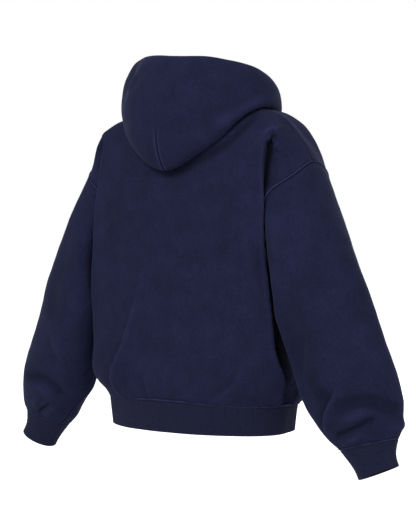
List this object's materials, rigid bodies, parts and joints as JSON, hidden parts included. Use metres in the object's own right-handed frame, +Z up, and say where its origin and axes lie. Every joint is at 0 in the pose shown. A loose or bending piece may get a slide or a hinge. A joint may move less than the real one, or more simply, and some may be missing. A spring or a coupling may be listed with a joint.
{
  "type": "zip-up hoodie",
  "caption": "Oversized zip-up hoodie on an unseen figure: drop shoulders, full sleeves gathered into ribbed cuffs, ribbed hem band, hood lying down the back.",
  "frame": {"origin": "middle of the neck opening at the height where the shoulder seams meet the neck", "axes": "-Y the way the wearer faces, +X the wearer's left, +Z up"},
  "size_m": [0.9084, 0.3087, 0.7986],
  "materials": {
    "fleece": "matt brushed navy fleece",
    "rib": "matt navy rib knit",
    "tape": "woven zip tape",
    "metal": "dark gunmetal"
  },
  "bodies": {
    "garment": {"back": "fleece", "front_left": "fleece", "front_right": "fleece", "sleeve_left": "fleece", "sleeve_right": "fleece", "cuff_left": "rib", "cuff_right": "rib", "hem_band": "rib", "hood": "fleece", "zip_tape_left": "tape", "zip_tape_right": "tape", "zip_chain": "metal", "zip_slider": "metal", "zip_stop_left": "metal", "zip_stop_right": "metal", "zip_box": "metal"},
    "pull": {"zip_pull": "metal"}
  },
  "joints": [
    {"name": "pull_swing", "type": "hinge", "parent": "garment", "child": "pull", "pos_m": [0, -0.11565, -0.09624], "axis": [-1, 0, 0], "range_deg": [0, 150]}
  ]
}
